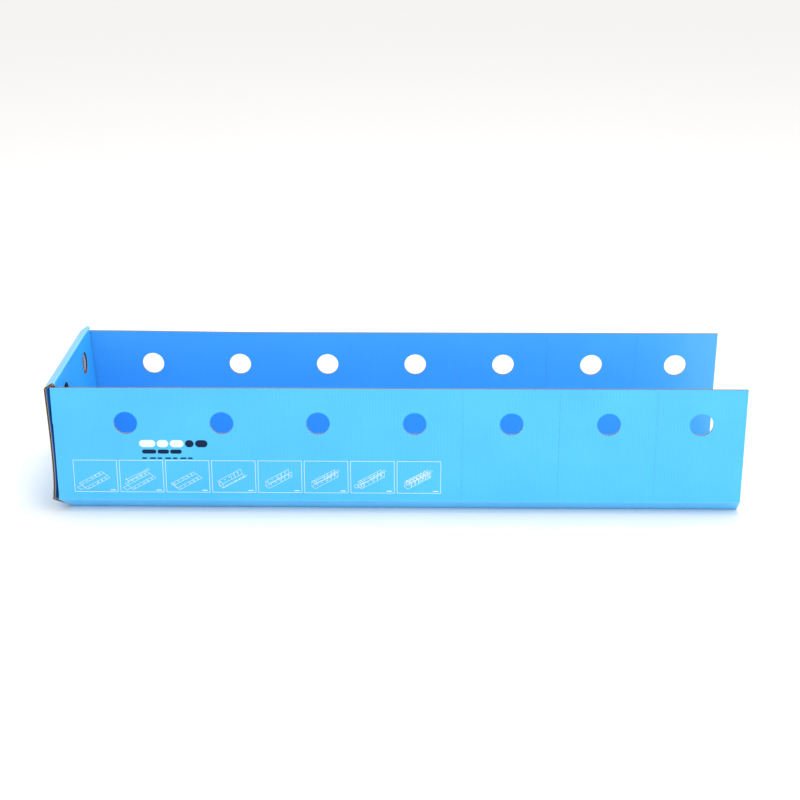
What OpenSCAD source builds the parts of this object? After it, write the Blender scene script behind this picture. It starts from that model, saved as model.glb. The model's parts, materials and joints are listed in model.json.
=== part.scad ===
// Folded corrugated-board limb splint: an open-topped channel with one closed, rolled-over end.
// The channel runs along X with its closed end at -X, and the ground is Z = 0.
// Every panel is drawn flat in its own frame: local z = 0 is the board's outer face, local z grows
// towards the board's inner face, and the flutes run along local y.

/* [Channel] */
// Overall length, from the closed end's outer face to the open end
tray_l = 723; // [700:1:760]
// Outer width across the two side walls
tray_w = 190; // [160:1:230]
// Height of the side walls above the ground
wall_h = 139.5; // [138:0.5:140]
// Rise and run of the sloped strip along each bottom edge
bevel = 14; // [10:0.5:18]

/* [Board] */
// Thickness of the whole corrugated board
board_t = 2.2; // [1.8:0.1:2.4]
// Thickness of each flat liner paper
liner_t = 0.3; // [0.2:0.05:0.4]
// Thickness of the wavy paper between the liners
wave_t = 0.3; // [0.2:0.05:0.4]
// Distance from crest to crest of the wavy paper
flute_pitch = 3.2; // [2.8:0.2:6]

/* [Strap holes] */
// Diameter of every strap hole
hole_d = 24.5; // [16:0.5:30]
// Height of the wall holes above the ground
hole_z = 101; // [60:1:110]
// Distance from the walls' closed-end edge to the first hole
hole_first = 76; // [60:1:80]
// Distance between neighbouring wall holes
hole_pitch = 100; // [100:1:100]
// Height of the two holes in the closed end
end_hole_z = 116; // [100:1:120]
// Distance between the two holes in the closed end
end_hole_gap = 97; // [60:1:120]

/* [Tear-off sections] */
// Length of each full tear-off section at the open end
section_l = 100; // [100:1:100]
// Length of the last tear-off section
last_section_l = 91; // [80:1:95]

/* [Closed end] */
// Gap between the outer end panel and the side walls' edges
end_gap = 4.4; // [3.5:0.1:6]
// Height at which the outer end panel turns over
roll_z = 138.5; // [138:0.5:139]
// Length of the short strip that rolls over the top
roll_l = 14; // [12:0.5:15]
// Slope of the rolled strip above the horizontal, in degrees
roll_slope = 35; // [30:1:40]
// Slope of the tucked-in panel from the vertical, in degrees
tuck_lean = 3.5; // [2:0.5:4]
// Gap between the tucked-in panel and each side wall
tuck_clear = 1; // [0.8:0.1:3]

/* [Dust flaps] */
// Length of each dust flap, measured from its wall
flap_l = 60; // [40:1:70]
// Height of the flap's top edge above the ground
flap_top = 100; // [90:1:102]
// Rise of the flap's lower edge for each millimetre of its length
flap_rise = 0.95; // [0.9:0.05:1]

/* [Hidden] */
$fn = 96;
// Half of the clearance that each ply keeps from a crease line
fold_gap = 0.02;
// Gap between two neighbouring tear-off sections
tear_gap = 0.1;
// Die-cut relief at each bottom corner of the closed end
notch = 2.5;
// Amount by which the end panels stop short of the walls' outer faces
side_trim = 0.5;
// Clearance under the tucked-in panel
tuck_foot = 0.3;
// Length of the tucked-in panel that keeps the full width, next to the roll
shoulder = 5;
// Height of the flap's lower edge above the wall's lower crease, at the crease
flap_foot = 2;
// Drop of the flap's top edge at its tip
flap_taper = 8;
// Extra length of each drill past the board's faces
over = 1;

close_x = -tray_l / 2;
open_x = tray_l / 2;
wall_x = close_x + board_t + end_gap;
base_x = close_x + bevel;
side_y = tray_w / 2;
base_y = side_y - bevel;
strip_l = bevel * sqrt(2);
strip_bend = 45;
wall_l = open_x - wall_x;
roll_bend = 90 - roll_slope;
tuck_bend = 90 + roll_slope - tuck_lean;
roll_end_x = close_x + roll_l * cos(roll_slope);
roll_end_z = roll_z + roll_l * sin(roll_slope);
tuck_l = (roll_end_z - board_t - tuck_foot) / cos(tuck_lean);
tuck_y = side_y - board_t - tuck_clear;
tuck_hole = (roll_end_z - end_hole_z) / cos(tuck_lean);

// Tear lines, from the closed end to the open one
tears = [
    open_x - last_section_l - 2 * section_l,
    open_x - last_section_l - section_l,
    open_x - last_section_l
];
// Wall hole positions: six at the pitch, and one in the middle of the last section
holes_x = [
    for (i = [0:5]) wall_x + hole_first + i * hole_pitch,
    open_x - last_section_l / 2
];

PLIES = ["outer", "fluting", "inner"];
SIDED = ["bevel", "wall"];
SIDES = ["front", "back"];

// ---- Board construction ----

// Lowest and highest face of each ply inside the board: outer liner, fluting, inner liner
function ply_low(k) = k == 0 ? 0 : k == 1 ? liner_t : board_t - liner_t;
function ply_high(k) = k == 0 ? liner_t : k == 1 ? board_t - liner_t : board_t;

// How far a ply stops short of a crease, so that the folded plies meet without overlapping
function setback(k, bend) = fold_gap + ply_high(k) * tan(bend / 2);

// Where the channel's long panels start and stop: 0 is the closed-end part, 1 to 3 tear off
function part_low(i, first_x) = i == 0 ? first_x : tears[i - 1] + tear_gap / 2;
function part_high(i) = i == 3 ? open_x : tears[i] - tear_gap / 2;

module paper(k, outline) {
    translate([0, 0, ply_low(k)])
        linear_extrude(height = ply_high(k) - ply_low(k))
            polygon(outline);
}

// Upper edge of the wavy paper, with four points for each wave
function wave_points(first, count, lift) = [
    for (i = [first : first + count])
        for (q = [0:3])
            [(i + q / 4) * flute_pitch, q < 2 ? board_t - liner_t + lift : liner_t + wave_t + lift]
];

module waves(outline) {
    low_x = min([for (p = outline) p[0]]);
    high_x = max([for (p = outline) p[0]]);
    low_y = min([for (p = outline) p[1]]);
    high_y = max([for (p = outline) p[1]]);
    first = floor(low_x / flute_pitch) - 1;
    count = ceil(high_x / flute_pitch) + 1 - first;
    upper = wave_points(first, count, 0);
    lower = wave_points(first, count, -wave_t);
    last = len(lower) - 1;
    intersection() {
        paper(1, outline);
        translate([0, high_y, 0])
            rotate([90, 0, 0])
                linear_extrude(height = high_y - low_y)
                    polygon(concat(upper, [for (i = [0:last]) lower[last - i]]));
    }
}

module drill(at) {
    translate([at[0], at[1], -over])
        cylinder(d = hole_d, h = board_t + 2 * over);
}

// One ply of a panel, drilled at each point of bores
module ply(k, outline, bores = []) {
    color(k == 1 ? "#b98f5c" : "#56bdf7")
        difference() {
            if (k == 1) waves(outline);
            else paper(k, outline);
            for (b = bores) drill(b);
        }
}

// ---- Panel outlines, at ply k ----

function base_outline(i, k) =
    let (
        low = i == 0 ? base_x + setback(k, strip_bend) : part_low(i, 0),
        y = base_y - setback(k, strip_bend)
    )
    [[low, -y], [part_high(i), -y], [part_high(i), y], [low, y]];

// Local y = 0 is the lower crease and y = -strip_l is the upper one
function bevel_outline(i, k) =
    let (
        s = setback(k, strip_bend),
        foot = i == 0 ? base_x + notch : part_low(i, 0),
        head = i == 0 ? wall_x : part_low(i, 0)
    )
    [[foot, -s], [head, s - strip_l], [part_high(i), s - strip_l], [part_high(i), -s]];

// Local y = 0 is the lower crease; the closed-end part steps back behind its dust flap
function wall_outline(i, k) =
    let (
        s = setback(k, strip_bend),
        head = bevel - wall_h,
        low = part_low(i, wall_x),
        behind = low + setback(k, 90),
        flap_low = -flap_foot + tear_gap,
        flap_high = bevel - flap_top - tear_gap
    )
    i > 0
    ? [[low, -s], [low, head], [part_high(i), head], [part_high(i), -s]]
    : [
        [low, -s], [low, flap_low], [behind, flap_low], [behind, flap_high], [low, flap_high],
        [low, head], [part_high(i), head], [part_high(i), -s]
    ];

// Local x = 0 is the flap's crease, and the flap runs towards -x
function flap_outline(k) =
    let (s = setback(k, 90), head = bevel - flap_top)
    [
        [-s, -flap_foot], [-s, head], [-flap_l, head + flap_taper],
        [-flap_l, -flap_foot - flap_rise * flap_l]
    ];

// Local x = 0 is the lower crease of each end panel, and the panel runs towards -x
function end_bevel_outline(k) =
    let (s = setback(k, strip_bend), y0 = base_y - notch, y1 = side_y - side_trim)
    [[-s, -y0], [-s, y0], [s - strip_l, y1], [s - strip_l, -y1]];

function strip_outline(low, high, y) = [[-high, -y], [-low, -y], [-low, y], [-high, y]];

function end_panel_outline(k) = strip_outline(
    setback(k, strip_bend), roll_z - bevel - setback(k, roll_bend), side_y - side_trim
);

function end_roll_outline(k) = strip_outline(
    setback(k, roll_bend), roll_l - setback(k, tuck_bend), side_y - side_trim
);

function end_tuck_outline(k) =
    let (s = setback(k, tuck_bend), y1 = side_y - side_trim, c = bevel + tuck_clear)
    [
        [-s, -y1], [-s, y1], [-shoulder, y1], [-shoulder, tuck_y], [c - tuck_l, tuck_y],
        [-tuck_l, tuck_y - c], [-tuck_l, c - tuck_y], [c - tuck_l, -tuck_y],
        [-shoulder, -tuck_y], [-shoulder, -y1]
    ];

// ---- Panels in place ----

module on_side(side) {
    mirror([0, side == "back" ? 1 : 0, 0])
        children();
}

module base(i, k) {
    ply(k, base_outline(i, k));
}

module side_bevel(side, i, k) {
    on_side(side)
        translate([0, -base_y, 0])
            rotate([-strip_bend, 0, 0])
                ply(k, bevel_outline(i, k));
}

module side_wall(side, i, k) {
    bores = [
        for (x = holes_x)
            if (x > part_low(i, wall_x) && x < part_high(i)) [x, bevel - hole_z]
    ];
    on_side(side)
        translate([0, -side_y, bevel])
            rotate([-90, 0, 0])
                ply(k, wall_outline(i, k), bores);
}

module side_flap(side, k) {
    on_side(side)
        translate([wall_x, -side_y, bevel])
            rotate([0, 0, -90])
                rotate([-90, 0, 0])
                    ply(k, flap_outline(k));
}

module end_bevel(k) {
    translate([base_x, 0, 0])
        rotate([0, strip_bend, 0])
            ply(k, end_bevel_outline(k));
}

module end_panel(k) {
    translate([close_x, 0, bevel])
        rotate([0, 90, 0])
            ply(k, end_panel_outline(k));
}

module end_roll(k) {
    translate([close_x, 0, roll_z])
        rotate([0, 90 + roll_bend, 0])
            ply(k, end_roll_outline(k));
}

module end_tuck(k) {
    bores = [for (s = [-1, 1]) [-tuck_hole, s * end_hole_gap / 2]];
    translate([roll_end_x, 0, roll_end_z])
        rotate([0, 90 + roll_bend + tuck_bend, 0])
            ply(k, end_tuck_outline(k), bores);
}

// ---- Nodes ----

for (k = [0:2]) {
    base(0, k);
    end_bevel(k);
    end_panel(k);
    end_roll(k);
    end_tuck(k);
}

for (s = SIDES, k = [0:2]) {
    side_bevel(s, 0, k);
    side_wall(s, 0, k);
    side_flap(s, k);
}

for (i = [1:3]) {
    for (k = [0:2]) base(i, k);
}

for (s = SIDES, i = [1:3]) {
    for (k = [0:2]) side_bevel(s, i, k);
    for (k = [0:2]) side_wall(s, i, k);
}
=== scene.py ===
import json
import math

import bmesh
import bpy
from mathutils import Matrix, Vector, noise
from mathutils.geometry import delaunay_2d_cdt


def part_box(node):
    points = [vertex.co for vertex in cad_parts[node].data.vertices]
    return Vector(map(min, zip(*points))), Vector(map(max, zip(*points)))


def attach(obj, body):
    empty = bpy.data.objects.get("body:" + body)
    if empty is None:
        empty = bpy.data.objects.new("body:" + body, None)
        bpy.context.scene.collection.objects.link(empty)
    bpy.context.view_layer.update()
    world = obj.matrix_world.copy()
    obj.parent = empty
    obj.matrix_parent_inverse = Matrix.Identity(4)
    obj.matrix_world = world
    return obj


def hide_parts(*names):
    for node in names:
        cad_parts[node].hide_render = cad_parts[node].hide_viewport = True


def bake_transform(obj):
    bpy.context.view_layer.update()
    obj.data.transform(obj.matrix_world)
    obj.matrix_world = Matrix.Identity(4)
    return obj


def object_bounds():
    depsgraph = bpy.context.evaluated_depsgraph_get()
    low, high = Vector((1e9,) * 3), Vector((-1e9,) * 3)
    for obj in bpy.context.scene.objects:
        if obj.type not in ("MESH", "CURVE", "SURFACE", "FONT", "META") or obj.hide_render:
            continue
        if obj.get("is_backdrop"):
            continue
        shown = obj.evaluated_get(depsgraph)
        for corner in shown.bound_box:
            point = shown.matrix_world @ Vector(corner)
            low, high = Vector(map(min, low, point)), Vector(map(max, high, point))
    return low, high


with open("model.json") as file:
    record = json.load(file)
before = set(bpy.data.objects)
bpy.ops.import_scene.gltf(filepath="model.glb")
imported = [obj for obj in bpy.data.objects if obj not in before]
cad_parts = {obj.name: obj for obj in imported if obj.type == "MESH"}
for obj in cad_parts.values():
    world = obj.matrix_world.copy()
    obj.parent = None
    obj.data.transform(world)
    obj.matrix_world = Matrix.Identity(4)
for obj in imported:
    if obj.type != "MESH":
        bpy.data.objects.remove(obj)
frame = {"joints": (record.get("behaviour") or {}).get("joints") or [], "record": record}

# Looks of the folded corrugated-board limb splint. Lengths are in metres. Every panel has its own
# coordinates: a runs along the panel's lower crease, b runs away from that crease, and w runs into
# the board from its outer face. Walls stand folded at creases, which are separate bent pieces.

cad_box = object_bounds()
MM = 0.001

# ---- Sizes that the frame gives ----

JOINTS = {joint["name"]: joint for joint in frame["joints"]}
MOUNTS = frame["record"]["mounts"]
PARTS = ["main", "section_1", "section_2", "section_3"]


def crease_point(joint):
    return Vector(JOINTS[joint]["pos_m"])


def crease_bend(joint):
    return math.radians(JOINTS[joint]["range_deg"][1])


close_x = crease_point("end_panel_fold").x
base_x = crease_point("end_fold").x
wall_x = crease_point("front_flap_fold").x
open_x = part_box("base_section_3")[1].x
side_y = crease_point("back_wall_fold").y
base_y = crease_point("back_fold").y
bevel = crease_point("front_wall_fold").z
wall_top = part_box("front_wall_outer")[1].z
roll_z = crease_point("end_roll_fold").z
roll_end = crease_point("end_tuck_fold")
end_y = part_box("end_panel_outer")[1].y
liner_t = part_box("base_outer")[1].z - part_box("base_outer")[0].z
board_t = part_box("base_inner")[1].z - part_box("base_outer")[0].z
wall_l = open_x - wall_x
wall_rise = wall_top - bevel
strip_l = bevel * math.sqrt(2)
roll_l = (roll_end - crease_point("end_roll_fold")).length
tears = [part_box(f"base_section_{i}")[0].x for i in (1, 2, 3)]

# ---- Sizes of the details ----

flute_pitch = 3.2 * MM
flute_paper = 0.25 * MM
fold_radius = 2.6 * MM
tight_radius = 2.3 * MM
tie_gap = 0.03 * MM
cut_depth = 0.08 * MM
# Worn ink on the outer face of the sloped strips, set high so that it also lightens these
# downward-facing strips as painted light.
strip_wear_and_painted_light = 0.4
end_press = 2.6 * MM
back_lean = 5 * MM
back_held = 0.3
cut_length = 4.6 * MM
cut_pitch = 8 * MM
notch = 2.5 * MM
tuck_clear = 1 * MM
shoulder = 5 * MM
flap_foot = 2 * MM
flap_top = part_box("front_flap_outer")[1].z - bevel
flap_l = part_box("front_flap_outer")[1].y + side_y
flap_taper = 8 * MM
flap_rise = 0.95
grid_step = 14 * MM
edge_room = 2 * MM
closed_gap = 0.02 * MM
strip_edge = 0.1 * MM
ripple_l = 9 * MM
bow_power = 1.4
press_power = 0.6


# ---- Mesh tools ----

def make_piece(name, points, faces, places, tints, materials, wear=None):
    """A mesh piece. places holds each point's (u, v, w) on the sheet, with u across the flutes."""
    mesh = bpy.data.meshes.new(name)
    mesh.from_pydata(points, [], faces)
    bm = bmesh.new()
    bm.from_mesh(mesh)
    bmesh.ops.recalc_face_normals(bm, faces=bm.faces)
    bm.to_mesh(mesh)
    bm.free()
    for material in materials:
        mesh.materials.append(material)
    mesh.polygons.foreach_set("material_index", tints)
    spot = mesh.attributes.new("sheet_place", "FLOAT_VECTOR", "POINT")
    spot.data.foreach_set("vector", [x for place in places for x in place])
    worn = mesh.attributes.new("wear", "FLOAT", "POINT")
    worn.data.foreach_set("value", wear or [0.0] * len(points))
    layer = mesh.uv_layers.new(name="sheet")
    for loop in mesh.loops:
        layer.data[loop.index].uv = places[loop.vertex_index][:2]
    mesh.shade_smooth()
    mesh.set_sharp_from_angle(angle=math.radians(35))
    piece = bpy.data.objects.new(name, mesh)
    bpy.context.scene.collection.objects.link(piece)
    return piece


def ring(centre, radius, count=56):
    """Points of a round hole."""
    turns = [2 * math.pi * i / count for i in range(count)]
    return [(centre[0] + radius * math.cos(t), centre[1] + radius * math.sin(t)) for t in turns]


def edges_of(loops):
    """Every edge of the closed loops, as pairs of points."""
    return [(loop[i - 1], loop[i]) for loop in loops for i in range(len(loop))]


def is_inside(point, edges):
    """True if the point is inside the outline and outside its holes, by counting crossings."""
    x, y = point
    found = False
    for (x0, y0), (x1, y1) in edges:
        if (y0 > y) != (y1 > y) and x < x0 + (y - y0) * (x1 - x0) / (y1 - y0):
            found = not found
    return found


def room_at(point, edges):
    """Distance from the point to the nearest edge."""
    nearest = 1.0
    for p, q in edges:
        dx, dy = q[0] - p[0], q[1] - p[1]
        along = ((point[0] - p[0]) * dx + (point[1] - p[1]) * dy) / (dx * dx + dy * dy)
        along = min(1.0, max(0.0, along))
        away = math.hypot(point[0] - p[0] - along * dx, point[1] - p[1] - along * dy)
        nearest = min(nearest, away)
    return nearest


def inner_points(loops, step):
    """Grid points inside an outline, so that a large sheet can bow."""
    edges = edges_of(loops)
    xs = [p[0] for p in loops[0]]
    ys = [p[1] for p in loops[0]]
    columns = max(1, math.ceil((max(xs) - min(xs)) / step))
    rows = max(1, math.ceil((max(ys) - min(ys)) / step))
    found = []
    for i in range(1, columns):
        for j in range(1, rows):
            x = min(xs) + (max(xs) - min(xs)) * i / columns
            y = min(ys) + (max(ys) - min(ys)) * j / rows
            if is_inside((x, y), edges) and room_at((x, y), edges) > edge_room:
                found.append((x, y))
    return found


def long_sides(loop, step):
    """The outline with its long edges cut into steps, so that they bow with the sheet."""
    made = []
    for p, q in edges_of([loop]):
        count = max(1, math.ceil(math.hypot(q[0] - p[0], q[1] - p[1]) / step))
        for k in range(1, count + 1):
            made.append((p[0] + (q[0] - p[0]) * k / count, p[1] + (q[1] - p[1]) * k / count))
    return made


def sheet_mesh(outline, holes, low, high, step=grid_step):
    """A flat closed sheet. Gives its points (a, b, w), its faces, and each face's side:
    0 at low, 1 at high, 2 around the edges."""
    loops = [long_sides(outline, step)] + holes
    flat, rims = [], []
    for loop in loops:
        rims.append(list(range(len(flat), len(flat) + len(loop))))
        flat += loop
    flat += inner_points(loops, step)
    scaled = [Vector((p[0] / MM, p[1] / MM)) for p in flat]
    cut = delaunay_2d_cdt(scaled, [], rims, 2, 0.00001)
    spots = [(p[0] * MM, p[1] * MM) for p in cut[0]]
    count = len(spots)
    points = [(a, b, low) for a, b in spots] + [(a, b, high) for a, b in spots]
    faces = [tuple(reversed(t)) for t in cut[2]]
    faces += [tuple(i + count for i in t) for t in cut[2]]
    sides = [0] * len(cut[2]) + [1] * len(cut[2])
    directed = {(t[i - 1], t[i]) for t in cut[2] for i in range(len(t))}
    for i, j in sorted(directed):
        if (j, i) not in directed:
            faces.append((i, j, j + count, i + count))
            sides.append(2)
    return points, faces, sides


def wave_mesh(u_low, u_high, rows, open_rows, place):
    """Wavy paper between the liners. rows(u) gives the v values of a column. open_rows lists the
    row gaps that are holes. place(u, v, w) gives a point's final spot."""
    reach = (board_t - 2 * liner_t - flute_paper) / 2
    steps = max(8, round((u_high - u_low) / flute_pitch * 8))
    points, places, columns = [], [], []
    for i in range(steps + 1):
        u = u_low + (u_high - u_low) * i / steps
        middle = board_t / 2 + reach * math.sin(2 * math.pi * u / flute_pitch)
        column = []
        values = rows(u)
        for skin in (-1, 1):
            w = middle + skin * flute_paper / 2
            ids = []
            for k, v in enumerate(values):
                if k > 0 and k - 1 in open_rows and v - values[k - 1] < closed_gap:
                    ids.append(ids[-1])
                    continue
                ids.append(len(points))
                points.append(place(u, v, w))
                places.append((u, v, w))
            column.append(ids)
        columns.append(column)
    faces = []

    def face(*ids):
        kept = [ids[k] for k in range(len(ids)) if ids[k] != ids[k - 1]]
        if len(kept) > 2:
            faces.append(tuple(kept))

    last = len(columns[0][0]) - 1
    borders = {0, last} | set(open_rows) | {k + 1 for k in open_rows}
    for one, two in zip(columns, columns[1:]):
        for k in range(last):
            if k in open_rows:
                continue
            face(one[0][k], one[0][k + 1], two[0][k + 1], two[0][k])
            face(one[1][k], two[1][k], two[1][k + 1], one[1][k + 1])
        for k in borders:
            twin = k + 1 if k in open_rows else k - 1
            is_rim = k not in (0, last)
            if is_rim and one[0][k] == one[0][twin] and two[0][k] == two[0][twin]:
                continue
            face(one[0][k], two[0][k], two[1][k], one[1][k])
    for column in (columns[0], columns[-1]):
        for k in range(last):
            if k not in open_rows:
                face(column[0][k], column[0][k + 1], column[1][k + 1], column[1][k])
    return points, faces, places


# ---- Materials ----

def node(tree, kind, inputs=None, **settings):
    """A shader node with its inputs set to values or joined to sockets."""
    made = tree.nodes.new(kind)
    for key, value in settings.items():
        setattr(made, key, value)
    for key, value in (inputs or {}).items():
        if isinstance(value, bpy.types.NodeSocket):
            tree.links.new(value, made.inputs[key])
        else:
            made.inputs[key].default_value = value
    return made


def calc(tree, operation, first, second=0.0, clamp=False):
    made = node(tree, "ShaderNodeMath", {0: first, 1: second}, operation=operation)
    made.use_clamp = clamp
    return made.outputs[0]


def blended(tree, factor, first, second):
    made = node(tree, "ShaderNodeMix", data_type="RGBA", blend_type="MIX")
    for index, value in ((0, factor), (6, first), (7, second)):
        if isinstance(value, bpy.types.NodeSocket):
            tree.links.new(value, made.inputs[index])
        else:
            made.inputs[index].default_value = value
    return made.outputs[2]


def ramp(tree, value, low, high):
    """0 below low, 1 above high, and smooth between them."""
    made = node(tree, "ShaderNodeMapRange", {0: value, 1: low, 2: high}, clamp=True)
    made.interpolation_type = "SMOOTHSTEP"
    return made.outputs[0]


def grain(tree, place, scale, detail=3.0, stretch=(1, 1, 1)):
    """Noise with that many grains in a millimetre, stretched along the sheet's axes."""
    spread = node(tree, "ShaderNodeVectorMath", {0: place, 1: stretch}, operation="MULTIPLY")
    found = node(tree, "ShaderNodeTexNoise", {
        "Vector": spread.outputs[0], "Scale": scale, "Detail": detail, "Roughness": 0.55})
    return found.outputs[0]


def new_shader(name):
    """A material with no nodes yet, and the socket with each point's place on the sheet in mm."""
    material = bpy.data.materials.new(name)
    material.use_nodes = True
    tree = material.node_tree
    tree.nodes.clear()
    spot = node(tree, "ShaderNodeAttribute", attribute_name="sheet_place")
    scaled = node(tree, "ShaderNodeVectorMath", {0: spot.outputs["Vector"]}, operation="SCALE")
    scaled.inputs["Scale"].default_value = 1 / MM
    return material, tree, scaled.outputs[0]


def close_shader(tree, colour, roughness, bumps, **gloss):
    """Joins colour, roughness and a chain of (height, depth in metres) bumps to the surface."""
    surface = node(tree, "ShaderNodeBsdfPrincipled", {"Base Color": colour, "Roughness": roughness})
    for key, value in gloss.items():
        surface.inputs[key.replace("_", " ")].default_value = value
    normal = None
    for height, depth in bumps:
        bump = node(tree, "ShaderNodeBump", {"Height": height, "Distance": depth, "Strength": 1.0})
        if normal:
            tree.links.new(normal, bump.inputs["Normal"])
        normal = bump.outputs[0]
    tree.links.new(normal, surface.inputs["Normal"])
    output = node(tree, "ShaderNodeOutputMaterial")
    tree.links.new(surface.outputs[0], output.inputs["Surface"])


def flute_shade(tree, place):
    """-1 to 1 across each flute, as it shows faintly through a glued liner."""
    parts = node(tree, "ShaderNodeSeparateXYZ", {0: place})
    turns = calc(tree, "MULTIPLY", parts.outputs[0], 2 * math.pi * MM / flute_pitch)
    return calc(tree, "SINE", turns)


def printed_paper(name, pale, deep, worn, gloss):
    """Blue-printed liner paper: ink mottle, broad paler patches that are painted reflection, flutes
    showing through, rub marks and worn creases; the worn colour also paints light onto the sloped
    strips.
    """
    material, tree, place = new_shader(name)
    flute = flute_shade(tree, place)
    # Large soft patches of paler and deeper blue at random; the paler ones stand in for broad
    # reflections on the glossy print, as painted reflection.
    cloudy = grain(tree, place, 0.012, 4.0)
    mottle = grain(tree, place, 0.9, 4.0, (1, 0.6, 1))
    fine = grain(tree, place, 6.0, 2.0)
    tone = calc(tree, "MULTIPLY_ADD", cloudy, 0.9)
    tone.node.inputs[2].default_value = 0.05
    tone = calc(tree, "ADD", tone, calc(tree, "MULTIPLY", calc(tree, "SUBTRACT", mottle, 0.5), 0.5))
    tone = calc(tree, "ADD", tone, calc(tree, "MULTIPLY", flute, 0.07), clamp=True)
    colour = blended(tree, tone, pale, deep)
    rubs = ramp(tree, grain(tree, place, 0.35, 6.0, (0.15, 1.6, 1)), 0.66, 0.74)
    rubs = calc(tree, "MULTIPLY", rubs, ramp(tree, grain(tree, place, 0.03, 2.0), 0.5, 0.62))
    colour = blended(tree, calc(tree, "MULTIPLY", rubs, 0.1), colour, worn)
    wear = node(tree, "ShaderNodeAttribute", attribute_name="wear").outputs["Fac"]
    # The wear attribute bleaches the bends of the creases; on the sloped strips it is also painted
    # light, lightening faces that turn down from the lamps.
    cracks_and_painted_light = ramp(tree, calc(tree, "ADD", wear, calc(tree, "MULTIPLY", fine, 0.5)), 0.55, 1.05)
    colour = blended(tree, cracks_and_painted_light, colour, worn)
    flecks = ramp(tree, grain(tree, place, 2.4, 1.0), 0.74, 0.78)
    colour = blended(tree, calc(tree, "MULTIPLY", flecks, 0.25), colour, worn)
    roughness = calc(tree, "MULTIPLY_ADD", mottle, 0.22)
    roughness.node.inputs[2].default_value = gloss
    roughness = calc(tree, "ADD", roughness, calc(tree, "MULTIPLY", cracks_and_painted_light, 0.25), clamp=True)
    bumps = [
        (grain(tree, place, 0.02, 2.0), 0.9 * MM),
        (flute, 0.022 * MM),
        (fine, 0.012 * MM),
        (cracks_and_painted_light, 0.03 * MM),
    ]
    close_shader(tree, colour, roughness, bumps, Coat_Weight=0.35, Coat_Roughness=0.16)
    return material


def kraft_paper(name, pale, deep):
    """Raw brown paper, with long fibres and dark specks."""
    material, tree, place = new_shader(name)
    fibres = grain(tree, place, 3.0, 5.0, (1, 0.18, 1))
    clumps = grain(tree, place, 0.5, 3.0)
    specks = ramp(tree, grain(tree, place, 4.5, 1.0), 0.7, 0.76)
    tone = calc(tree, "ADD", calc(tree, "MULTIPLY", fibres, 0.7), calc(tree, "MULTIPLY", clumps, 0.5))
    colour = blended(tree, ramp(tree, tone, 0.42, 0.78), pale, deep)
    dark = tuple(0.45 * x for x in deep[:3]) + (1,)
    colour = blended(tree, calc(tree, "MULTIPLY", specks, 0.6), colour, dark)
    roughness = calc(tree, "MULTIPLY_ADD", fibres, 0.2)
    roughness.node.inputs[2].default_value = 0.72
    close_shader(tree, colour, roughness, [(fibres, 0.05 * MM), (clumps, 0.05 * MM)])
    return material


def printing_ink(name, full, thin):
    """Screen-printed ink that lets a little of the blue through its pinholes."""
    material, tree, place = new_shader(name)
    pinholes = ramp(tree, grain(tree, place, 3.5, 3.0), 0.6, 0.72)
    colour = blended(tree, calc(tree, "MULTIPLY", pinholes, 0.5), full, thin)
    roughness = calc(tree, "MULTIPLY_ADD", pinholes, 0.2)
    roughness.node.inputs[2].default_value = 0.6
    bumps = [(grain(tree, place, 5.0), 0.008 * MM)]
    close_shader(tree, colour, roughness, bumps, Specular_IOR_Level=0.12)
    return material


outer_print = printed_paper(
    "outer_print", (0.060, 0.55, 0.94, 1), (0.030, 0.425, 0.91, 1), (0.42, 0.80, 0.95, 1), 0.26)
inner_print = printed_paper(
    "inner_print", (0.086, 0.50, 0.95, 1), (0.070, 0.435, 0.94, 1), (0.40, 0.76, 0.95, 1), 0.36)
kraft = kraft_paper("kraft_paper", (0.66, 0.48, 0.29, 1), (0.46, 0.31, 0.17, 1))
flute_kraft = kraft_paper("flute_paper", (0.30, 0.185, 0.09, 1), (0.15, 0.085, 0.04, 1))
white_ink = printing_ink("white_ink", (0.80, 0.89, 0.95, 1), (0.40, 0.70, 0.93, 1))
navy_ink = printing_ink("navy_ink", (0.006, 0.018, 0.055, 1), (0.02, 0.07, 0.16, 1))


# ---- Panels ----

def folded(rise, inward, angle):
    """A panel's two directions after its board turns up by angle."""
    c, s = math.cos(angle), math.sin(angle)
    return rise * c + inward * s, inward * c - rise * s


class Panel:
    """A flat stretch of board between creases. across is True where the flutes run along a."""

    def __init__(self, name, body, origin, along, rise, inward, across=False, bow=None):
        self.name = name
        self.body = body
        self.origin = Vector(origin)
        self.along = Vector(along)
        self.rise = Vector(rise)
        self.inward = Vector(inward)
        self.across = across
        self.bow = bow

    def place(self, a, b, w):
        lift = w + (self.bow(a, b) if self.bow else 0.0)
        return self.origin + self.along * a + self.rise * b + self.inward * lift

    def sheet_place(self, a, b, w):
        return (b, a, w) if self.across else (a, b, w)

    def node_name(self, part, ply):
        return f"{self.name}_{ply}" if part == 0 else f"{self.name}_section_{part}"

    def piece_name(self, part, what):
        long_panel = self.name.split("_")[-1] in ("base", "bevel", "wall") and not self.across
        return f"{self.name}_{PARTS[part]}_{what}" if long_panel else f"{self.name}_{what}"


def dress(piece, panel, slot, *nodes):
    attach(piece, panel.body)
    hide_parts(*nodes)


def liner(panel, part, ply, outline, holes, wear=0.0):
    """One flat paper of the board: blue on its outside, raw brown on its edges and glued side."""
    low = 0.0 if ply == "outer" else board_t - liner_t
    points, faces, sides = sheet_mesh(outline, holes, low, low + liner_t)
    printed_side = 0 if ply == "outer" else 1
    tints = [0 if side == printed_side else 1 for side in sides]
    spots = [panel.place(*p) for p in points]
    places = [panel.sheet_place(*p) for p in points]
    materials = [outer_print if ply == "outer" else inner_print, kraft]
    name = panel.piece_name(part, ply + "_liner")
    piece = make_piece(name, spots, faces, places, tints, materials, [wear] * len(points))
    dress(piece, panel, ply + "_liner", panel.node_name(part, ply))


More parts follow.
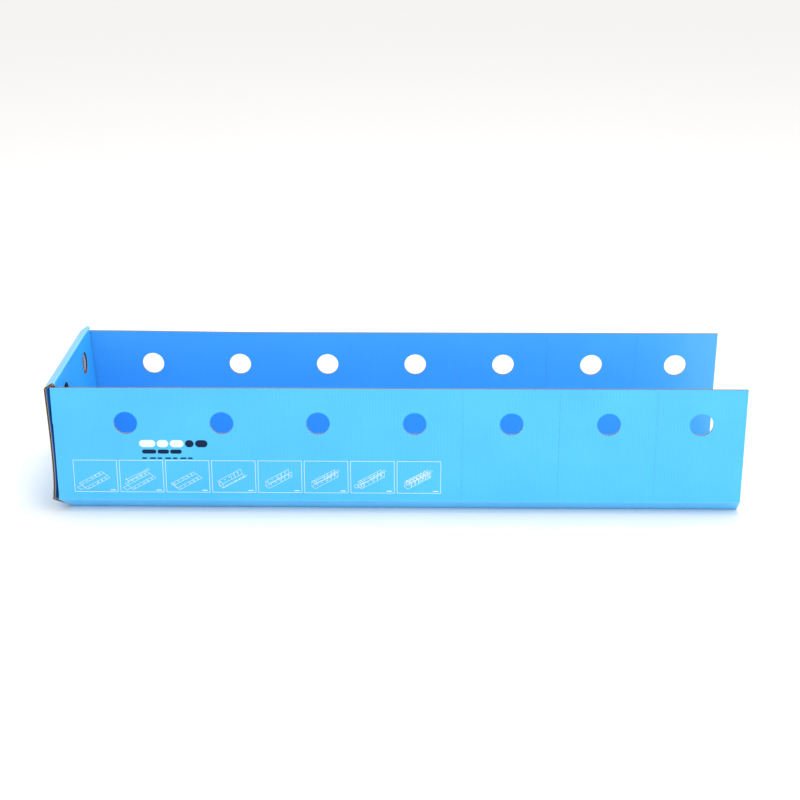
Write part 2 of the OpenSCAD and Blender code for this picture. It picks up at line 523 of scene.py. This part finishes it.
def fluting(panel, part, u_low, u_high, rows, open_rows=()):
    """The wavy paper of one panel."""
    def place(u, v, w):
        return panel.place(v, u, w) if panel.across else panel.place(u, v, w)

    points, faces, places = wave_mesh(u_low, u_high, rows, set(open_rows), place)
    name = panel.piece_name(part, "fluting")
    piece = make_piece(name, points, faces, places, [0] * len(faces), [flute_kraft])
    dress(piece, panel, "fluting", panel.node_name(part, "fluting"))


def hole_rows(low, high, holes, radius):
    """Rows for a column of wavy paper, cut by round holes that lie at one or more v levels."""
    levels = sorted({round(v, 6) for u, v in holes})

    def rows(u):
        made = [low(u)]
        for level in levels:
            reach = 0.0
            for hole_u, hole_v in holes:
                if abs(hole_v - level) < MM and abs(u - hole_u) < radius:
                    reach = math.sqrt(radius ** 2 - (u - hole_u) ** 2)
            made += [level - reach, level + reach]
        return made + [high(u)]

    return rows, [1 + 2 * k for k in range(len(levels))]


# ---- Creases ----

class Crease:
    """A bent strip of board between two panels: the outer faces' corner is rounded to radius."""

    def __init__(self, joint, panel, corner, radius, across=False):
        self.joint = joint
        self.corner = Vector(corner)
        self.along = panel.along
        self.rise = panel.rise
        self.inward = panel.inward
        self.bend = crease_bend(joint)
        self.radius = radius
        self.across = across
        self.inset = radius * math.tan(self.bend / 2)

    def place(self, a, turn, w):
        """A point at a along the crease, at turn from 0 to 1 round the bend, at depth w."""
        centre = self.corner + self.along * a - self.rise * self.inset + self.inward * self.radius
        rise, inward = folded(self.rise, self.inward, self.bend * turn)
        return centre - inward * (self.radius - w)

    def strip(self, name, low, high, depths, outside, materials, crumple, seed, wear):
        """One layer of the bend as a closed strip from a = low to a = high."""
        columns = max(2, math.ceil((high - low) / (5 * MM)))
        turns = max(6, round(math.degrees(self.bend) / 7))
        points, places, worn = [], [], []
        for skin, depth in enumerate(depths):
            for i in range(columns + 1):
                a = low + (high - low) * i / columns
                for j in range(turns + 1):
                    turn = j / turns
                    belly = math.sin(math.pi * turn)
                    ripple = noise.noise(Vector((a / ripple_l, 2.5 * turn, seed)))
                    w = depth + crumple * belly * ripple
                    points.append(self.place(a, turn, w))
                    arc = (self.radius - depth) * self.bend * turn
                    places.append((arc, a, w) if self.across else (a, arc, w))
                    worn.append(wear * belly ** 2)
        row = turns + 1
        layer = (columns + 1) * row
        faces, tints = [], []
        for i in range(columns):
            for j in range(turns):
                k = i * row + j
                faces.append((k, k + 1, k + row + 1, k + row))
                tints.append(0 if outside == 0 else 1)
                faces.append((k + layer, k + row + layer, k + row + 1 + layer, k + 1 + layer))
                tints.append(0 if outside == 1 else 1)
            for k in (i * row, i * row + turns):
                faces.append((k, k + row, k + row + layer, k + layer))
                tints.append(1)
        for j in range(turns):
            for k in (j, columns * row + j):
                faces.append((k, k + 1, k + 1 + layer, k + layer))
                tints.append(1)
        return make_piece(name, points, faces, places, tints, materials, worn)

    def build(self, name, low, high, seed):
        """The outer liner, the crushed core and the inner liner of the bend."""
        layers = [
            ("outer_liner", (0.0, liner_t), 0, [outer_print, kraft], 0.05 * MM, 0.55),
            ("core", (liner_t, board_t - liner_t), 2, [flute_kraft, flute_kraft], 0.0, 0.0),
            ("inner_liner", (board_t - liner_t, board_t), 1, [inner_print, kraft], 0.10 * MM, 0.5),
        ]
        for what, depths, outside, materials, crumple, wear in layers:
            piece = self.strip(f"{name}_{what}", low, high, depths, outside, materials,
                               crumple, seed, wear)
            "fluting" if what == "core" else what
            middle = sum(depths) / 2
            start = self.place(0.0, 0.0, middle)
            end = self.place(0.0, 1.0, middle)
            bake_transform(piece)


# ---- Outlines ----

def part_span(part, first):
    """Where a part of a long panel starts and stops along the channel."""
    low = first if part == 0 else tears[part - 1] + tie_gap / 2
    high = open_x if part == 3 else tears[part] - tie_gap / 2
    return low, high


def tear_edge(a, b_from, b_to, inward):
    """A tear line's edge: cuts made by the perforating blade, with ties left between them."""
    way = 1 if b_to > b_from else -1
    count = int(abs(b_to - b_from) / cut_pitch)
    margin = (abs(b_to - b_from) - count * cut_pitch + cut_pitch - cut_length) / 2
    points = [(a, b_from)]
    for k in range(count):
        start = b_from + way * (margin + k * cut_pitch)
        stop = start + way * cut_length
        points += [(a, start), (a + inward * cut_depth, start + way * cut_depth)]
        points += [(a + inward * cut_depth, stop - way * cut_depth), (a, stop)]
    return points + [(a, b_to)]


def long_outline(part, first, b_low, b_high, closed_edge=None):
    """Outline of one part of a long panel. closed_edge is its edge at the closed end."""
    low, high = part_span(part, first)
    right = [(high, b_low), (high, b_high)]
    if part < 3:
        right = tear_edge(high, b_low, b_high, -1)
    left = closed_edge or [(low, b_high), (low, b_low)]
    if part > 0:
        left = tear_edge(low, b_high, b_low, 1)
    return right + left


def flat_rows(low, high):
    return lambda u: [low, high]


# ---- The long panels and their creases ----

X, Y, Z = Vector((1, 0, 0)), Vector((0, 1, 0)), Vector((0, 0, 1))


def wall_holes():
    """The strap holes of a wall, as (a, b), from the openings that the record keeps free."""
    found = []
    for opening in frame["record"]["physics"]["openings"]:
        if opening["name"].startswith("front_strap_hole"):
            low, high = opening["box_m"]
            found.append(((low[0] + high[0]) / 2, (low[2] + high[2]) / 2 - bevel))
    return sorted(found)


def hole_radius():
    return next(m["dims"]["hole_r_mm"] for m in MOUNTS if "strap_holes" in m["name"]) * MM


def back_bow(a, b):
    """Slack of the back wall: its free edge leans in, except at the closed end, which holds it."""
    share = (a - wall_x) / wall_l
    held = min(1.0, share / back_held)
    lean = back_lean * (1 - math.cos(math.pi * held)) / 2
    return lean * max(0.0, b / wall_rise) ** bow_power


def front_bow(a, b):
    """Slack of the front wall, which is stiffer than the back one."""
    share = (a - wall_x) / wall_l
    return 0.5 * MM * math.sin(1.5 * math.pi * share) ** 2 * max(0.0, b / wall_rise) ** bow_power


def build_base():
    panel = Panel("base", "base", (0, 0, 0), X, Y, Z)
    inset = fold_radius * math.tan(math.radians(22.5))
    reach = base_y - inset
    for part in range(4):
        outline = long_outline(part, base_x + inset, -reach, reach)
        low, high = part_span(part, base_x + inset)
        liner(panel, part, "outer", outline, [])
        liner(panel, part, "inner", outline, [])
        fluting(panel, part, low, high, flat_rows(-reach, reach))


def build_side(side, way):
    """The sloped strip, the wall and their two creases on one side."""
    outward = Y * way
    base = Panel("base", "base", (0, base_y * way, 0), X, outward, Z)
    lower = Crease(f"{side}_fold", base, (0, base_y * way, 0), fold_radius)
    rise, inward = folded(outward, Z, lower.bend)
    strip = Panel(f"{side}_bevel", f"{side}_bevel", lower.corner, X, rise, inward)
    upper = Crease(f"{side}_wall_fold", strip, (0, side_y * way, bevel), fold_radius)
    rise, inward = folded(rise, inward, upper.bend)
    bow = back_bow if side == "back" else front_bow
    wall = Panel(f"{side}_wall", f"{side}_wall", upper.corner, X, rise, inward, bow=bow)
    foot = base_x + notch
    behind = wall_x + tight_radius
    holes = wall_holes()
    radius = hole_radius()
    for part in range(4):
        slant = [(wall_x, strip_l - upper.inset), (foot, lower.inset)]
        outline = long_outline(part, foot, lower.inset, strip_l - upper.inset, slant)
        # The strip's outer face is blended towards the worn colour: partly worn ink, partly painted
        # light on a face that turns down.
        liner(strip, part, "outer", outline, [], strip_wear_and_painted_light)
        liner(strip, part, "inner", outline, [])
        low, high = part_span(part, wall_x)

        def strip_foot(u):
            share = (u - wall_x) / (foot - wall_x)
            along = strip_l - upper.inset - share * (strip_l - upper.inset - lower.inset)
            return min(strip_l - upper.inset - strip_edge, max(lower.inset, along))

        def strip_rows(u):
            return [strip_foot(u), strip_l - upper.inset]

        fluting(strip, part, low, high, strip_rows)
        edge = [
            (wall_x, wall_rise), (wall_x, flap_top), (behind, flap_top),
            (behind, flap_foot), (wall_x, flap_foot), (wall_x, upper.inset),
        ]
        outline = long_outline(part, wall_x, upper.inset, wall_rise, edge)
        low, high = part_span(part, wall_x)
        here = [h for h in holes if low < h[0] < high]
        rings = [ring(h, radius) for h in here]
        liner(wall, part, "outer", outline, rings)
        liner(wall, part, "inner", outline, rings)
        start = behind if part == 0 else low
        rows, gaps = hole_rows(lambda u: upper.inset, lambda u: wall_rise, here, radius)
        fluting(wall, part, start, high, rows, gaps)
        seed = 10.0 * part + (3.0 if side == "back" else 0.0)
        low, high = part_span(part, foot)
        lower.build(f"{side}_lower_crease_{PARTS[part]}", low, high, seed)
        low, high = part_span(part, wall_x)
        upper.build(f"{side}_upper_crease_{PARTS[part]}", low, high, seed + 1)
    return wall


def build_flap(side, way, wall):
    """The dust flap that turns in behind the closed end, and its crease."""
    turned = Panel(wall.name, wall.body, wall.origin, Z, -X, wall.inward)
    corner = Vector((wall_x, side_y * way, bevel))
    crease = Crease(f"{side}_flap_fold", turned, corner, tight_radius, across=True)
    rise, inward = folded(-X, wall.inward, crease.bend)
    flap = Panel(f"{side}_flap", f"{side}_flap", corner, Z, rise, inward, across=True)
    outline = [
        (flap_foot, crease.inset), (flap_top, crease.inset), (flap_top - flap_taper, flap_l),
        (flap_foot + flap_rise * flap_l, flap_l),
    ]
    liner(flap, 0, "outer", outline, [])
    liner(flap, 0, "inner", outline, [])

    def rows(u):
        share = (u - crease.inset) / (flap_l - crease.inset)
        return [flap_foot + flap_rise * flap_l * share, flap_top - flap_taper * share]

    fluting(flap, 0, crease.inset, flap_l, rows)
    crease.build(f"{side}_flap_crease", flap_foot, flap_top, 50.0 + way)


# ---- The closed end ----

def end_outline(low, high, reach_low, reach_high):
    return [(-reach_low, low), (reach_low, low), (reach_high, high), (-reach_high, high)]


def tapered_rows(low, high, reach_low, reach_high):
    """Rows for a column of wavy paper in a panel whose two sides slope evenly."""
    def rows(u):
        reach = reach_low + (reach_high - reach_low) * (u - low) / (high - low)
        return [-reach, reach]

    return rows


def end_bow(a, b):
    """Slack of the outer end panel, which is pressed in towards the walls' edges low down."""
    return end_press * math.sin(math.pi * (b / (roll_z - bevel)) ** press_power)


def build_end():
    """Sloped strip, outer panel, rolled strip and tucked-in panel, with the creases between them."""
    base = Panel("base", "base", (base_x, 0, 0), Y, -X, Z, across=True)
    joints = ["end_fold", "end_panel_fold", "end_roll_fold", "end_tuck_fold"]
    names = ["end_bevel", "end_panel", "end_roll", "end_tuck"]
    radii = [fold_radius, fold_radius, tight_radius, tight_radius]
    creases, panels = [], []
    before = base
    for joint, name, radius in zip(joints, names, radii):
        crease = Crease(joint, before, crease_point(joint), radius, across=True)
        rise, inward = folded(before.rise, before.inward, crease.bend)
        bow = end_bow if name == "end_panel" else None
        before = Panel(name, name, crease.corner, Y, rise, inward, across=True, bow=bow)
        creases.append(crease)
        panels.append(before)
    tuck_y = side_y - board_t - tuck_clear
    tuck_l = (roll_end.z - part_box("end_tuck_outer")[0].z) / -panels[3].rise.z
    lengths = [strip_l, roll_z - bevel, roll_l, tuck_l]
    cut = bevel + tuck_clear
    holes = end_holes(panels[3])
    radius = hole_radius()
    for k, panel in enumerate(panels):
        low = creases[k].inset
        high = lengths[k] - (creases[k + 1].inset if k < 3 else 0.0)
        reach = base_y - notch if k == 0 else end_y
        if k < 3:
            outline = end_outline(low, high, reach, end_y)
            rows = tapered_rows(low, high, reach, end_y)
            rings, gaps = [], []
        else:
            right = [
                (end_y, low), (end_y, shoulder), (tuck_y, shoulder), (tuck_y, high - cut),
                (tuck_y - cut, high),
            ]
            outline = right + [(-a, b) for a, b in reversed(right)]

            def reach_at(u):
                if u < shoulder:
                    return end_y
                return tuck_y - max(0.0, u - (high - cut))

            rows, gaps = hole_rows(lambda u: -reach_at(u), reach_at,
                                   [(b, a) for a, b in holes], radius)
            rings = [ring(h, radius) for h in holes]
        liner(panel, 0, "outer", outline, rings)
        liner(panel, 0, "inner", outline, rings)
        fluting(panel, 0, low, high, rows, gaps)
        creases[k].build(f"{joints[k].replace('_fold', '')}_crease", -reach, reach, 60.0 + k)


def end_holes(panel):
    """The two holes of the tucked-in panel, as (a, b)."""
    found = []
    for mount in MOUNTS:
        if mount["name"].startswith("end_") and mount["kind"] == "bore":
            y, z = mount["pos_m"][1], mount["pos_m"][2]
            found.append((y, (z - roll_end.z) / panel.rise.z))
    return found


# ---- Print on the front wall ----

ink_depth = 0.04 * MM
ink_gap = 0.005 * MM
stroke_w = 0.42 * MM
picture_first = 18.3 * MM
picture_pitch = 48.5 * MM
picture_w = 45.6 * MM
picture_low = 9 * MM
picture_h = 36 * MM
mark_first = 89 * MM


def ribbon(line, width=stroke_w, closed=False):
    """The loops of a stroke of that width along a line of (a, b) points, with mitred corners."""
    spots = [Vector(p) for p in line]
    count = len(spots)
    left, right = [], []
    for i, spot in enumerate(spots):
        ways = []
        if closed or i > 0:
            ways.append((spot - spots[i - 1]).normalized())
        if closed or i < count - 1:
            ways.append((spots[(i + 1) % count] - spot).normalized())
        normals = [Vector((-way.y, way.x)) for way in ways]
        mitre = (normals[0] + normals[-1]).normalized()
        reach = width / 2 / max(0.5, mitre.dot(normals[0]))
        left.append(tuple(spot + mitre * reach))
        right.append(tuple(spot - mitre * reach))
    return [left, right] if closed else [left + right[::-1]]


def pill(a, b, length, height):
    """A bar with round ends, from its left end and its middle height."""
    radius = height / 2
    loop = []
    for middle, first in ((a + length - radius, -90), (a + radius, 90)):
        for k in range(9):
            turn = math.radians(first + 22.5 * k)
            loop.append((middle + radius * math.cos(turn), b + radius * math.sin(turn)))
    return [loop]


def stamp(name, shapes, ink, wall):
    """Thin closed patches of ink on the wall's outer face, all in one piece."""
    points, faces = [], []
    for loops in shapes:
        spots, shape_faces, _ = sheet_mesh(loops[0], loops[1:], -ink_gap - ink_depth, -ink_gap)
        faces += [tuple(i + len(points) for i in face) for face in shape_faces]
        points += spots
    placed = [wall.place(*p) for p in points]
    piece = make_piece(name, placed, faces, points, [0] * len(faces), [ink])
    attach(piece, wall.body)


class Sketch:
    """A line drawing of the splint, drawn obliquely inside one picture frame."""

    length, width, wall = 31 * MM, 8.5 * MM, 6 * MM

    def __init__(self, corner):
        self.corner = corner
        self.shapes = []

    def at(self, x, y, z=0.0):
        """Picture place of a point: x along the splint, y across it, z up."""
        a = 7.5 * MM + 0.78 * x + 0.42 * y
        b = 7.5 * MM + 0.44 * x - 0.34 * y + 0.9 * z
        return (self.corner[0] + a, self.corner[1] + b)

    def draw(self, corners, closed=False, width=0.7 * stroke_w):
        self.shapes.append(ribbon([self.at(*c) for c in corners], width, closed))

    def board(self, fold, end_fold):
        """The splint with its walls and its end folded up by these angles, in degrees."""
        out = self.wall * math.cos(math.radians(fold))
        up = self.wall * math.sin(math.radians(fold))
        end_out = self.wall * math.cos(math.radians(end_fold))
        end_up = self.wall * math.sin(math.radians(end_fold))
        self.draw([(0, 0), (self.length, 0), (self.length, self.width), (0, self.width)], True)
        for edge, way in ((0.0, -1), (self.width, 1)):
            far = edge + way * out
            self.draw([(0, edge), (0, far, up), (self.length, far, up), (self.length, edge)])
            for k in range(1, 4):
                x = self.length * (0.4 + 0.15 * k)
                self.draw([(x, edge), (x, far, up)])
            for k in range(5):
                middle = (self.length * (0.1 + 0.19 * k), edge + way * 0.6 * out, 0.6 * up)
                spot = self.at(*middle)
                self.shapes.append(ribbon(ring(spot, 0.55 * MM, 8), 0.5 * stroke_w, True))
        self.draw([(0, 0), (-end_out, 0, end_up), (-end_out, self.width, end_up), (0, self.width)])

    def limb(self, shift, lift):
        """A plain leg: two long soft lines and a foot."""
        middle = self.width / 2 + shift
        for way in (-1, 1):
            line = []
            for k in range(13):
                x = self.length * (0.10 + 0.085 * k)
                half = (1.7 + 0.9 * math.sin(k * 0.55)) * MM
                line.append((x, middle + way * half, lift))
            self.draw(line)
        sole = []
        for k in range(9):
            turn = math.pi * k / 8
            sole.append((self.length * 0.10 - 1.2 * MM * math.sin(turn),
                         middle - 1.9 * MM * math.cos(turn), lift + 3.4 * MM * math.sin(turn)))
        self.draw(sole)

    def wraps(self):
        """A bandage wound round the tray in slanted turns."""
        for k in range(6):
            x = self.length * (0.08 + 0.15 * k)
            line = [(x, -0.5 * MM, 0), (x + 1 * MM, -0.5 * MM, self.wall),
                    (x + 3 * MM, self.width + 0.5 * MM, self.wall),
                    (x + 2.4 * MM, self.width + 0.5 * MM, 0)]
            self.draw(line, width=1.3 * stroke_w)

    def padding(self):
        """Three folded pads at the foot end."""
        for k in range(3):
            x, y = -3 * MM + 3 * MM * k, self.width * (0.25 + 0.25 * k)
            spot = self.at(x, y, self.wall * 0.4)
            self.shapes.append(ribbon(ring(spot, 2.1 * MM, 16), 0.8 * stroke_w, True))


def build_pictures(wall):
    """Eight framed drawings: flat, beside a limb, end up, half folded, folded, in use, padded, wound."""
    steps = [(0, 0), (0, 0), (0, 60), (45, 90), (90, 90), (90, 90), (90, 90), (90, 90)]
    for k, (fold, end_fold) in enumerate(steps):
        a = wall_x + picture_first + k * picture_pitch
        b = picture_low
        frame_line = [(a, b), (a + picture_w, b), (a + picture_w, b + picture_h), (a, b + picture_h)]
        sketch = Sketch((a, b))
        sketch.board(fold, end_fold)
        if k == 1:
            sketch.limb(-11 * MM, 2 * MM)
        if k in (5, 6, 7):
            sketch.limb(0.0, 5 * MM)
        if k == 6:
            sketch.padding()
        if k == 7:
            sketch.wraps()
        label = pill(a + picture_w - 8 * MM, b + 2.2 * MM, 5.5 * MM, 0.9 * MM)
        shapes = [ribbon(frame_line, stroke_w, True)] + sketch.shapes + [label]
        stamp(f"print_picture_{k + 1}", shapes, white_ink, wall)


def build_mark(wall):
    """A generic mark: bars of white and navy, a second navy row, and a thin line of dashes."""
    a = wall_x + mark_first
    top, second, third = 64 * MM, 55 * MM, 47.6 * MM
    white, navy = [], []
    for start, length in ((0, 17), (18.5, 12), (32, 14.5)):
        white.append(pill(a + start * MM, top, length * MM, 8 * MM))
    for start, length in ((48, 9), (58.5, 13)):
        navy.append(pill(a + start * MM, top, length * MM, 8 * MM))
    for start, length in ((2.5, 15), (18.8, 12), (32, 12.2)):
        navy.append(pill(a + start * MM, second, length * MM, 4.6 * MM))
    for k in range(7):
        navy.append(pill(a + (2.3 + 8 * k) * MM, third, (5 + 1.6 * (k % 2)) * MM, 1.7 * MM))
    stamp("print_mark_white", white, white_ink, wall)
    stamp("print_mark_navy", navy, navy_ink, wall)


# ---- Floor, light and camera ----

def build_floor():
    size = 9.0
    drop = 0.15 * MM
    mesh = bpy.data.meshes.new("floor")
    corners = [(-size, -size), (size, -size), (size, size), (-size, size)]
    mesh.from_pydata([(x, y, -drop) for x, y in corners], [], [(0, 1, 2, 3)])
    floor = bpy.data.objects.new("floor", mesh)
    bpy.context.scene.collection.objects.link(floor)
    material = bpy.data.materials.new("floor_white")
    material.use_nodes = True
    surface = material.node_tree.nodes["Principled BSDF"]
    surface.inputs["Base Color"].default_value = (0.945, 0.935, 0.925, 1)
    surface.inputs["Roughness"].default_value = 0.75
    mesh.materials.append(material)
    floor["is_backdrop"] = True


def area_light(name, spot, target, size, power):
    data = bpy.data.lights.new(name, "AREA")
    data.shape = "DISK"
    data.size = size
    data.energy = power
    lamp = bpy.data.objects.new(name, data)
    lamp.location = spot
    lamp.rotation_mode = "QUATERNION"
    lamp.rotation_quaternion = (Vector(target) - Vector(spot)).to_track_quat("-Z", "Y")
    bpy.context.scene.collection.objects.link(lamp)


def build_light():
    world = bpy.data.worlds.new("studio")
    world.use_nodes = True
    sky = world.node_tree.nodes["Background"]
    sky.inputs["Color"].default_value = (1.0, 1.0, 1.0, 1)
    sky.inputs["Strength"].default_value = 0.95
    bpy.context.scene.world = world
    area_light("key", (0.8, -1.2, 1.5), (0.15, 0, 0.05), 0.9, 5)
    area_light("top", (0.1, 0.1, 2.0), (0, 0.05, 0.05), 0.9, 14)
    area_light("low", (0.5, -1.5, 0.2), (0.15, 0, 0.02), 0.8, 3)
    bpy.context.scene.view_settings.view_transform = "Standard"


def build_camera():
    data = bpy.data.cameras.new("camera")
    data.sensor_width = 36
    data.lens = 71.85
    data.shift_x = 0.0275
    camera = bpy.data.objects.new("camera", data)
    yaw, pitch, roll = (math.radians(x) for x in (-1.538, 20.732, -0.328))
    forward = Vector((math.sin(yaw) * math.cos(pitch), math.cos(yaw) * math.cos(pitch),
                      -math.sin(pitch)))
    level = Vector((math.cos(yaw), -math.sin(yaw), 0))
    up = level.cross(forward)
    right = level * math.cos(roll) + up * math.sin(roll)
    up = up * math.cos(roll) - level * math.sin(roll)
    turn = Matrix((right, up, -forward)).transposed().to_4x4()
    camera.matrix_world = Matrix.Translation((0.02455, -1.6281, 0.708)) @ turn
    bpy.context.scene.collection.objects.link(camera)
    bpy.context.scene.camera = camera


def build_walls():
    for side, way in (("front", -1), ("back", 1)):
        wall = build_side(side, way)
        build_flap(side, way, wall)
        if side == "front":
            build_pictures(wall)
            build_mark(wall)


build_base()
build_walls()
build_end()
build_floor()
build_light()
build_camera()

[[list(corner) for corner in box] for box in (cad_box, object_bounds())]
